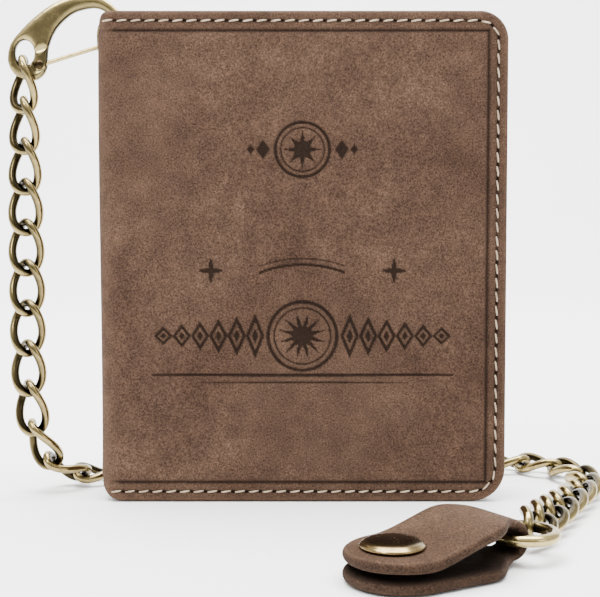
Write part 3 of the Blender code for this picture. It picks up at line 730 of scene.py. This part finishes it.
def stitches(name, y_sign, body):
    """Slanted stitches with their ends drawn down into the holes."""
    points, faces = [], []
    sides, rings = 8, 7
    for i in range(STITCHES):
        start = i * STITCH_PITCH
        (ax, az), out = seam_at(start + (STITCH_PITCH - STITCH_LENGTH) / 2)
        (bx, bz), _ = seam_at(start + (STITCH_PITCH + STITCH_LENGTH) / 2)
        lean = math.tan(STITCH_SLANT) * STITCH_LENGTH / 2
        ax, az = ax - out[0] * lean, az - out[1] * lean
        bx, bz = bx + out[0] * lean, bz + out[1] * lean
        t = np.linspace(0, 1, rings)
        rise = np.sin(np.pi * t) ** 0.6 * 0.32 * MM - 0.22 * MM
        centre = np.stack([ax + (bx - ax) * t, y_sign * (FACE + rise), az + (bz - az) * t], 1)
        thick = STITCH_THICKNESS / 2 * (0.35 + 0.65 * np.sin(np.pi * np.clip(t, 0.04, 0.96)) ** 0.35)
        ring, _ = tube(centre, sides, thick, False, (0, 1.0, 0.02))
        base = len(points) * sides * rings
        points.append(ring)
        faces.append(grid_faces(rings, sides, wrap_columns=True) + base)
    mesh = mesh_from(name, np.concatenate(points) + np.array(HOME), np.concatenate(faces))
    bm = bmesh.new()
    bm.from_mesh(mesh)
    bmesh.ops.holes_fill(bm, edges=bm.edges, sides=sides)
    bmesh.ops.recalc_face_normals(bm, faces=bm.faces)
    bm.to_mesh(mesh)
    bm.free()
    mesh.shade_smooth()
    made = make_object(name, mesh, THREAD)
    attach(made, body)
    return made


# CAD nodes that keep their shape, with softened edges ---------------------------


TOOTH_PITCH = 1.25 * MM


def softened(name, cad, material, body, width=0.18 * MM, segments=3):
    """A copy of a flat CAD piece with rounded edges."""
    mesh = NODES[cad].data.copy()
    bm = bmesh.new()
    bm.from_mesh(mesh)
    bmesh.ops.remove_doubles(bm, verts=bm.verts, dist=1e-6)
    bmesh.ops.dissolve_limit(bm, angle_limit=math.radians(1), verts=bm.verts, edges=bm.edges)
    bm.to_mesh(mesh)
    bm.free()
    made = make_object(name, mesh, material)
    bevel = made.modifiers.new("soft_edge", "BEVEL")
    bevel.width = width
    bevel.segments = segments
    bevel.limit_method = "ANGLE"
    bevel.angle_limit = math.radians(40)
    mesh.shade_smooth()
    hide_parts(cad)
    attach(made, body)
    return made


def remeshed(name, cad, material, body, voxel, rounds):
    """A copy of a thick CAD piece, remeshed and relaxed so that its edges are soft."""
    source = make_object(name + "_source", NODES[cad].data.copy())
    remesh = source.modifiers.new("voxels", "REMESH")
    remesh.mode = "VOXEL"
    remesh.voxel_size = voxel
    relax = source.modifiers.new("relax", "SMOOTH")
    relax.factor = 0.5
    relax.iterations = rounds
    bpy.context.view_layer.update()
    graph = bpy.context.evaluated_depsgraph_get()
    mesh = bpy.data.meshes.new_from_object(source.evaluated_get(graph))
    bpy.data.objects.remove(source)
    mesh.name = name
    mesh.shade_smooth()
    made = make_object(name, mesh, material)
    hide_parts(cad)
    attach(made, body)
    return made


def inside_pieces():
    """Linings, inner leather panels, the clear window and the zip."""
    for name in ("front_lining", "back_lining", "bill_divider", "zip_tape"):
        body = body_of(NODES[name])[0]
        softened(name + "_sheet", name, LINING, body, 0.1 * MM, 2)
    panels = ("front_inner_panel", "back_inner_panel", "coin_pocket_panel")
    leaves = ("card_leaf_1", "card_leaf_2", "card_leaf_3")
    for name in panels + leaves:
        body = body_of(NODES[name])[0]
        softened(name + "_leather", name, INNER_LEATHER, body, 0.3 * MM)
    softened("id_window_film", "id_window", FILM, "front_half", 0.08 * MM, 2)
    softened("zip_slider_body", "zip_slider", BRASS, "zip_runner", 0.25 * MM)
    softened("zip_pull_tab", "zip_pull", BRASS, "zip_runner", 0.22 * MM)
    zip_teeth()


def zip_teeth():
    """Two rows of small metal teeth that take turns along the zip."""
    low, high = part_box("zip_teeth")
    middle = (low + high) / 2
    points, faces = [], []
    half = np.array((0.24 * MM, (high.y - low.y) / 2, 0.85 * MM))
    cube = np.array([(x, y, z) for x in (-1, 1) for y in (-1, 1) for z in (-1, 1)], float)
    quads = np.array([(0, 1, 3, 2), (4, 6, 7, 5), (0, 4, 5, 1), (2, 3, 7, 6), (0, 2, 6, 4), (1, 5, 7, 3)])
    for i in range(int((high.x - low.x) / TOOTH_PITCH)):
        for side in (-1, 1):
            x = low.x + TOOTH_PITCH * (i + 0.5 + 0.25 * side)
            at = np.array((x, middle.y, middle.z + side * 0.65 * MM))
            faces.append(quads + 8 * len(points))
            points.append(cube * half + at)
    mesh = mesh_from("zip_teeth_row", np.concatenate(points), np.concatenate(faces), smooth=False)
    store(mesh, "painted_shade", 0.0)
    made = make_object("zip_teeth_row", mesh, BRASS)
    bevel = made.modifiers.new("soft_edge", "BEVEL")
    bevel.width = 0.07 * MM
    bevel.segments = 2
    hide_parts("zip_teeth")
    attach(made, "root")


# Chain -------------------------------------------------------------------------


def chain_link_mesh(name):
    """A twisted oval link of round wire, its upstream pivot at the origin."""
    count, sides = 56, 14
    angle = (np.arange(count) + 0.5) * math.tau / count
    along = np.cos(angle)
    across = np.sign(np.sin(angle)) * np.abs(np.sin(angle)) ** LINK_SQUARENESS
    turn = -LINK_TWIST / 2 * along
    half_wide = (LINK_WIDTH - LINK_WIRE) / 2
    half_long = (LINK_LENGTH - LINK_WIRE) / 2
    x, y = half_wide * across * np.cos(turn), half_wide * across * np.sin(turn)
    centre = np.stack([x, y, half_long * along - LINK_PITCH / 2], 1)
    points, out = tube(centre, sides, LINK_WIRE / 2 - LINK_EASE, True, (0.02, 1.0, 0.03))
    mesh = mesh_from(name, points, grid_faces(count, sides, True, True))
    # Painted shade: the wire darkens on its inner side, towards the link's middle, and at both ends where
    # the links meet.
    middle = np.array([0, 0, -LINK_PITCH / 2])
    inward = middle - np.repeat(centre, sides, 0)
    inward /= np.linalg.norm(inward, axis=1)[:, None]
    facing = (out * inward).sum(1)
    end = np.repeat(np.abs(along), sides)
    painted_shade = smoothstep(-0.8, 0.3, facing) * (0.85 + 0.15 * end)
    painted_shade = np.maximum(painted_shade, 0.9 * smoothstep(0.75, 1.0, end) * smoothstep(-0.9, 0.1, facing))
    store(mesh, "painted_shade", np.clip(painted_shade, 0, 0.96))
    mesh.materials.append(CHAIN_BRASS)
    return mesh


def chain():
    """One link per body, each turned towards the next link's pivot."""
    joints = {j["child"]: Vector(j["pos_m"]) for j in frame["joints"] if "pos_m" in j}
    count = sum(name.startswith("link_") for name in joints)
    pivots = [joints[f"link_{i + 1:02d}"] for i in range(count)] + [joints["ring"]]
    mesh = chain_link_mesh("chain_link")
    for i in range(count):
        ahead = (pivots[i + 1] - pivots[i]).normalized()
        if i < len(HANGING_ROLL):
            roll = math.radians(HANGING_ROLL[i])
            across = Vector((math.cos(roll), math.sin(roll), 0))
        else:
            across = ahead.cross(Vector((0, 0, 1)))
            from_end = i - (count - len(END_ROLL))
            if from_end >= 0:
                across = Matrix.Rotation(-math.radians(END_ROLL[from_end]), 3, ahead) @ across
        across = (across - across.dot(ahead) * ahead).normalized()
        back = -ahead
        rotation = Matrix((across, back.cross(across), back)).transposed()
        name = f"link_{i + 1:02d}"
        made = bpy.data.objects.new("chain_" + name, mesh)
        bpy.context.scene.collection.objects.link(made)
        made.matrix_world = Matrix.Translation(pivots[i]) @ rotation.to_4x4()
        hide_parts(name)
        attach(made, name)


# Hook, ring, eyelet ------------------------------------------------------------


HOOK_EYE = Vector((-69.4, 111.2)) * MM
HOOK_EYE_SIZE = (4.9 * MM, 6.5 * MM)
HOOK_ROUND = 2.1 * MM
HOOK_MOUTH = Vector((-55, 112)) * MM
HOOK_THICKNESS = 2.6 * MM
HOOK_VOXEL = 0.16 * MM
HOOK_RELAX_ROUNDS = 40
GATE_PIVOT = Vector((-65.7, 108.2)) * MM
GATE_WIRE = 1.1 * MM
GATE_EYE = 0.72 * MM
EYELET_HOLE = 3.0 * MM


def hook():
    """A cast crescent: the CAD's plate, remeshed and relaxed to a rounded section."""
    made = remeshed(
        "snap_hook", "hook_body", BRASS, "hook", HOOK_VOXEL, HOOK_RELAX_ROUNDS
    )
    mesh = made.data
    co = point_places(mesh)
    edge = np.flatnonzero(np.abs(point_normals(mesh)[:, 1]) < 0.55)
    outline = KDTree(len(edge))
    for i in edge:
        outline.insert((co[i, 0], 0.0, co[i, 2]), int(i))
    outline.balance()
    far = np.array([outline.find((x, 0.0, z))[2] for x, _, z in co])
    dome = 0.6 + 0.4 * np.sqrt(1 - (1 - np.clip(far / HOOK_ROUND, 0, 1)) ** 2)
    half = np.abs(co[:, 1] - HOME.y).max()
    co[:, 1] = HOME.y + (co[:, 1] - HOME.y) * dome * HOOK_THICKNESS / 2 / half
    mesh.vertices.foreach_set("co", co.ravel())
    mesh.update()

    # Painted shade: darker on faces that turn into the mouth and on the walls round the eye, and darker
    # towards the tail at the bottom.
    x, _, z = (co - np.array(HOME)).T
    normal = point_normals(mesh)
    from_mouth_x, from_mouth_z = x - HOOK_MOUTH.x, z - HOOK_MOUTH.y
    mouth = np.hypot(from_mouth_x, from_mouth_z)
    inward = -(from_mouth_x * normal[:, 0] + from_mouth_z * normal[:, 2])
    inner = smoothstep(-0.8, 0.85, inward / np.maximum(mouth, 1e-6)) ** 1.7
    wide, tall = HOOK_EYE_SIZE
    eye = np.hypot(x - HOOK_EYE.x, (z - HOOK_EYE.y) * wide / tall)
    rim = smoothstep(3.2 * MM, 2.5 * MM, eye) * smoothstep(0.95, 0.4, np.abs(normal[:, 1]))
    tail = smoothstep(111 * MM, 105 * MM, z) * 0.6
    store(mesh, "painted_shade", np.clip(np.maximum(np.maximum(inner, rim), tail), 0, 0.95))


def gate_pin():
    """The dark brass head of the pin that the gate turns on, in the hook's front face, with painted shade
    over it.
    """
    profile = [
        (0.0, 0.3 * MM), (0.7 * MM, 0.25 * MM), (1.05 * MM, 0.1 * MM), (1.15 * MM, -0.2 * MM),
        (0.0, -0.2 * MM),
    ]
    at = Vector((GATE_PIVOT.x, -HOOK_THICKNESS / 2 + 0.05 * MM, GATE_PIVOT.y)) + HOME
    made = turned("gate_pin", profile, at, (0, -1, 0), DARK_BRASS, 32)
    # Painted shade: the pin head is darkened nearly to black where the gate enters the hook.
    store(made.data, "painted_shade", 0.8)
    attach(made, "hook")


def gate():
    """A wire arm from its eye on the pin to the hook's beak."""
    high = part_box("hook_gate")[1]
    sides, rings = 16, 24
    start = Vector((GATE_PIVOT.x, 0, GATE_PIVOT.y)) + HOME
    end = Vector((high.x - 0.2 * MM, HOME.y, high.z - GATE_WIRE / 2))
    t = np.linspace(0, 1, rings)
    centre = np.array(start) + (np.array(end) - np.array(start)) * t[:, None]
    thick = GATE_WIRE / 2 * np.where(t > 0.97, 0.8, 1.0)
    points, _ = tube(centre, sides, thick, False, (0, 1.0, 0))
    mesh = mesh_from("gate_wire", points, grid_faces(rings, sides, wrap_columns=True))
    eye_place = Matrix.Translation(start)
    bm = bmesh.new()
    bm.from_mesh(mesh)
    bmesh.ops.holes_fill(bm, edges=bm.edges, sides=sides)
    bmesh.ops.create_uvsphere(bm, u_segments=16, v_segments=10, radius=GATE_EYE, matrix=eye_place)
    bm.to_mesh(mesh)
    bm.free()
    mesh.shade_smooth()
    # Painted shade: the wire darkens towards its eye on the pin.
    from_pin = point_places(mesh)[:, 0] - start.x
    store(mesh, "painted_shade", smoothstep(1.5 * MM, 0.0, from_pin) * 0.8)
    made = make_object("gate_wire", mesh, BRASS)
    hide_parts("hook_gate")
    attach(made, "gate")


def turned(name, profile, centre, axis, material, steps=64):
    """A turned piece from (radius, height) points along an axis."""
    angle = np.arange(steps) * math.tau / steps
    r, h = np.array(profile, float).T
    across, over = np.outer(r, np.cos(angle)), np.outer(r, np.sin(angle))
    rings = np.stack([across, over, np.repeat(h[:, None], steps, 1)], -1)
    rotation = Vector((0, 0, 1)).rotation_difference(Vector(axis)).to_matrix()
    points = rings.reshape(-1, 3) @ np.array(rotation).T + np.array(centre)
    closed = abs(profile[0][0]) > 1e-6
    mesh = mesh_from(name, points, grid_faces(len(profile), steps, closed, True))
    weld(mesh, 1e-7)
    return make_object(name, mesh, material)


def round_profile(radius, wire, count=20):
    """The round section of a ring's wire."""
    angles = [math.tau * i / count for i in range(count)]
    return [(radius + wire / 2 * math.cos(a), wire / 2 * math.sin(a)) for a in angles]


def ring():
    """The plain ring that joins the chain to the belt tab; painted shade darkens its inner side."""
    low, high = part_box("tab_ring")
    centre = (low + high) / 2
    wire = high.z - low.z
    radius = (high.x - low.x) / 2 - wire / 2
    made = turned("belt_ring", round_profile(radius, wire), centre, (0, 0, 1), BRASS, 96)
    co = point_places(made.data) - np.array(centre)
    outward = (np.hypot(co[:, 0], co[:, 1]) - radius) / (wire / 2)
    # Painted shade on the ring's inner side.
    store(made.data, "painted_shade", smoothstep(0.55, -0.2, outward) * 0.6)
    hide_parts("tab_ring")
    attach(made, "ring")


def eyelet_part(name, cad, profile):
    """A turned part of the eyelet, from its outer face inwards through the spine."""
    low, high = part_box(cad)
    centre = Vector((low.x, (low.y + high.y) / 2, (low.z + high.z) / 2))
    made = turned(name, profile, centre, (1, 0, 0), DARK_BRASS)
    store(made.data, "painted_shade", 0.0)
    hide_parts(cad)
    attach(made, "root")


def eyelet():
    """A flanged eyelet in the spine with a washer behind the leather."""
    low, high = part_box("eyelet_outer")
    depth = high.x - low.x
    flange, hole = (high.z - low.z) / 2, EYELET_HOLE
    eyelet_part("spine_eyelet", "eyelet_outer", [
        (hole, depth), (hole, 0.55 * MM), (hole + 0.12 * MM, 0.2 * MM), (hole + 0.5 * MM, 0.0),
        (hole + 0.95 * MM, 0.06 * MM), (flange - 0.25 * MM, 0.3 * MM), (flange, 0.62 * MM),
        (flange, 0.75 * MM), (hole + 0.4 * MM, 0.75 * MM), (hole + 0.4 * MM, depth),
    ])
    low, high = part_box("eyelet_washer")
    thick = high.x - low.x
    eyelet_part("spine_washer", "eyelet_washer", [
        (hole + 0.75 * MM, thick), (hole + 0.75 * MM, 0), (flange - 0.1 * MM, 0),
        (flange, thick * 0.3), (flange, thick * 0.7), (flange - 0.1 * MM, thick),
    ])


# Belt tab ------------------------------------------------------------------------


def strap_half_width(s):
    """Half the strap's width at a distance from its fold: a round tongue with a waist."""
    at = np.array((0, 1.5, 3.5, 5.5, 7.5, 9.5, 26)) * MM
    half = np.array((4.0, 4.3, 6.3, 8.5, 10.2, 11.0, 11.0)) * MM
    shifts = (-1.2 * MM, -0.6 * MM, 0, 0.6 * MM, 1.2 * MM)
    wide = np.mean([np.interp(s + shift, at, half) for shift in shifts], axis=0)
    tip = np.clip(s - (TAB_LENGTH - TAB_HALF), 0, TAB_HALF)
    return np.where(tip > 0, np.sqrt(np.clip(TAB_HALF**2 - tip**2, 0, None)), wide)


def strap_mesh(name, path, thickness, reach, centre):
    """A thick leather tongue along a side-view path with round edges.

    path holds (s, z) of its middle, reach the plan distance from the fold at each point."""
    count = 61
    across = np.sin(np.linspace(-1, 1, count) * math.pi / 2)
    half = strap_half_width(reach)
    tangent = np.gradient(path, axis=0)
    tangent /= np.linalg.norm(tangent, axis=1)[:, None]
    w = across[None, :] * half[:, None]
    tip = (reach - (TAB_LENGTH - TAB_HALF))[:, None]
    round_tip = TAB_HALF - np.hypot(np.clip(tip, 0, None), w)
    edge = np.clip(np.where(tip > 0, round_tip, half[:, None] - np.abs(w)), 0, None)
    full = np.sqrt(np.clip(1 - (1 - np.clip(edge / STRAP_EDGE, 0, 1)) ** 2, 0, 1))
    along = np.array((math.cos(TAB_ANGLE), math.sin(TAB_ANGLE), 0.0))
    side = np.array((-math.sin(TAB_ANGLE), math.cos(TAB_ANGLE), 0.0))
    up = np.array((0.0, 0.0, 1.0))
    middle = np.array(centre) + path[:, 0:1] * along + path[:, 1:2] * up
    out = -tangent[:, 1:2] * along + tangent[:, 0:1] * up
    swell = 1 + 0.05 * np.sin(reach * 420 + 1.1)[:, None] * np.cos(w * 310)
    lift = (thickness[:, None] / 2 * full * swell)[..., None] * out[:, None]
    flat = middle[:, None] + w[..., None] * side
    mesh = mesh_from(name, *closed_sheet(flat + lift, flat - lift))
    weld(mesh, 1e-6)

    co = point_places(mesh) - np.array(centre)
    facing = point_normals(mesh)[:, 2]
    behind = co @ along < 1.5 * MM
    inner = np.where(co[:, 2] > -0.6 * MM, -facing, facing)
    # Cut edges are a little darker; the tongues' facing inner sides get painted shade between them.
    cut_edge = smoothstep(0.85, 0.3, np.abs(facing)) * 0.28
    shade_between_tongues = np.where(behind, smoothstep(0.3, 0.8, inner) * 0.75, 0.0)
    store(mesh, "press_and_shade", np.maximum(cut_edge, shade_between_tongues))
    store(mesh, "wear", smoothstep(0.98, 0.8, facing) * smoothstep(0.5, 0.8, facing) * 0.5)
    return mesh


def spaced_to_tip(start, count):
    """Distances from the fold that crowd together at the round tip."""
    body = np.linspace(start, TAB_LENGTH - TAB_HALF, count, endpoint=False)
    turn = np.linspace(0, math.pi / 2, count)
    return np.concatenate([body, TAB_LENGTH - TAB_HALF + TAB_HALF * np.sin(turn)])


def lower_strap(centre):
    """The tongue that lies flat below, with the fold that goes round the ring."""
    reach = spaced_to_tip(3 * MM, 46)[::-1]
    lower = np.stack([-reach, np.full(len(reach), LOWER_STRAP_MIDDLE - centre.z)], 1)
    turn = np.linspace(-math.pi / 2, math.pi / 2, 26)
    fold = np.stack([FOLD_MIDDLE * np.cos(turn), FOLD_MIDDLE * np.sin(turn)], 1)
    tail = np.array([(-0.8 * MM, FOLD_MIDDLE)])
    path = np.concatenate([lower, fold, tail])
    distance = np.concatenate([reach, np.zeros(len(fold) + 1)])
    thick = np.interp(distance, (0, 4 * MM), (1.8 * MM, 2.6 * MM))
    mesh = strap_mesh("tab_lower_strap", path, thick, distance, centre)
    made = make_object("tab_lower_strap", mesh, STRAP_LEATHER)
    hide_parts("tab_back_flap")
    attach(made, "tab")


def upper_strap(centre, along):
    """The tongue on top: it starts on the fold, arches and comes down to its tip."""
    reach = spaced_to_tip(0.1 * MM, 60)
    at = np.array((0, 1.5, 3.5, 6, 9, 13, 17, 20, 23.5, 37.1)) * MM
    rise = np.array((3.3, 3.9, 4.5, 4.7, 4.4, 3.3, 2.0, 1.0, 0.2, 0.1)) * MM
    z = np.interp(reach, at, rise)
    for _ in range(14):
        z[1:-1] = (z[:-2] + 2 * z[1:-1] + z[2:]) / 4
    thick = np.interp(reach, (0, 4 * MM), (1.86 * MM, 2.55 * MM))
    mesh = strap_mesh("tab_upper_strap", np.stack([-reach, z], 1), thick, reach, centre)
    made = make_object("tab_upper_strap", mesh, STRAP_LEATHER)
    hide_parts("tab_front_flap")
    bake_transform(made, "tab", "tab_flap", centre - 0.2 * MM * along, centre - 6 * MM * along)


def stud_cap():
    """The dark domed cap of the snap; painted shade darkens it from the crown towards the rim."""
    low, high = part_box("snap_cap")
    centre = Vector(((low.x + high.x) / 2, (low.y + high.y) / 2, low.z))
    radius, rise = (high.x - low.x) / 2, high.z - low.z
    angles = [math.pi / 2 * i / 12 for i in range(1, 12)]
    dome = [(radius * 0.93 * math.sin(a), rise * (0.32 + 0.68 * math.cos(a))) for a in angles]
    skirt = [
        (radius * 0.95, rise * 0.36), (radius, rise * 0.22), (radius, rise * 0.08),
        (radius - 0.3 * MM, 0.0), (0.0, 0.0),
    ]
    made = turned("stud_cap", [(0.0, rise)] + dome + skirt, centre, (0, 0, 1), DARK_BRASS)
    far = np.hypot(*(point_places(made.data) - np.array(centre))[:, :2].T)
    # Painted shade: darker towards the cap's rim.
    store(made.data, "painted_shade", smoothstep(radius * 0.97, radius * 0.72, far) * 0.85)
    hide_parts("snap_cap")
    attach(made, "tab_flap")


def belt_tab():
    """Two leather tongues joined by a fold round the ring, and the snap that shuts them."""
    ring_low, ring_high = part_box("tab_ring")
    along = Vector((math.cos(TAB_ANGLE), math.sin(TAB_ANGLE), 0))
    centre = (ring_low + ring_high) / 2 - FOLD_OFFSET * along
    lower_strap(centre)
    upper_strap(centre, along)
    stud_cap()
    for cad, body, material, slot in (
        ("snap_socket", "tab_flap", BRASS, "antique_brass"),
        ("snap_stud", "tab", BRASS, "antique_brass"),
        ("snap_post", "tab", DARK_BRASS, "dark_brass"),
    ):
        made = softened(cad + "_metal", cad, material, body, 0.12 * MM)
        store(made.data, "painted_shade", 0.0)


# Studio ------------------------------------------------------------------------


LENS = 68.6
CAMERA_TIP = math.radians(3)
CAMERA_DISTANCE = 0.28


def area_light(name, energy, size, location, target):
    data = bpy.data.lights.new(name, "AREA")
    data.energy = energy
    data.size = size
    made = bpy.data.objects.new(name, data)
    bpy.context.scene.collection.objects.link(made)
    made.location = location
    made.rotation_mode = "QUATERNION"
    made.rotation_quaternion = (Vector(target) - Vector(location)).to_track_quat("-Z", "Y")


def floor():
    """A pale floor that sweeps up behind in a quarter round."""
    half_wide, bend_start, bend_radius = 3.0, 0.9, 0.6
    angles = [math.pi / 2 * i / 16 for i in range(1, 17)]
    profile = [(-3.0, 0.0), (bend_start, 0.0)]
    for a in angles:
        profile.append((bend_start + bend_radius * math.sin(a), bend_radius * (1 - math.cos(a))))
    profile.append((bend_start + bend_radius, 2.5))
    points = [(x, y, z) for y, z in profile for x in (-half_wide, half_wide)]
    mesh = mesh_from("floor", points, grid_faces(len(profile), 2)[:, ::-1])
    material, tree, shader = new_material("pale_floor")
    clouds = noise(tree, scale=6.0, detail=2.0)
    tone = ramp(tree, clouds, [(0.3, grey(0.93)), (0.7, grey(0.95))])
    tree.links.new(tone, shader.inputs["Base Color"])
    shader.inputs["Roughness"].default_value = 0.8
    made = make_object("floor", mesh, material)
    made.location.z = -0.2 * MM


def sky():
    """A grey world that is dimmer below and towards the front."""
    world = bpy.data.worlds.new("studio")
    world.use_nodes = True
    tree = world.node_tree
    direction = node(tree, "ShaderNodeTexCoord").outputs["Generated"]
    parts = node(tree, "ShaderNodeSeparateXYZ", {"Vector": direction}).outputs
    height = math_node(tree, "ADD", math_node(tree, "MULTIPLY", parts["Y"], 0.75), parts["Z"])
    level = math_node(tree, "ADD", math_node(tree, "MULTIPLY", height, 0.5), 0.5)
    light = ramp(tree, level, [(0.24, grey(0.22)), (0.6, grey(1.0))])
    background = tree.nodes["Background"]
    tree.links.new(light, background.inputs["Color"])
    background.inputs["Strength"].default_value = 1.3
    bpy.context.scene.world = world


def lights():
    """A key from the left, a weak fill, a wide lamp above and one for the backdrop."""
    middle = home(0, 0, 0.06)
    for name, energy, size, location, target in (
        ("key", 2.6, 0.16, home(-0.3, -0.42, 0.55), middle),
        ("fill", 0.5, 0.2, home(0.5, -0.45, 0.25), middle),
        ("top", 12.0, 0.9, home(0.0, 0.1, 1.1), middle),
        ("backdrop", 120.0, 1.6, (0.0, 0.3, 1.6), (0.0, 1.35, 0.35)),
    ):
        area_light(name, energy, size, location, target)


def camera():
    """A long lens a little above the wallet's middle, tipped down three degrees."""
    data = bpy.data.cameras.new("camera")
    data.sensor_width = 36
    data.lens = LENS
    data.clip_start = 0.01
    made = bpy.data.objects.new("camera", data)
    bpy.context.scene.collection.objects.link(made)
    aim = home(-0.6 * MM, -FACE, 50.2 * MM)
    back, rise = math.cos(CAMERA_TIP), math.sin(CAMERA_TIP)
    made.location = aim + CAMERA_DISTANCE * Vector((0, -back, rise))
    made.rotation_euler = (math.pi / 2 - CAMERA_TIP, 0, 0)
    bpy.context.scene.camera = made


camera()
floor()
sky()
lights()
outer_leather()
stitches("front_seam", -1, "front_half")
stitches("back_seam", 1, "root")
inside_pieces()
chain()
hook()
gate_pin()
gate()
ring()
eyelet()
belt_tab()
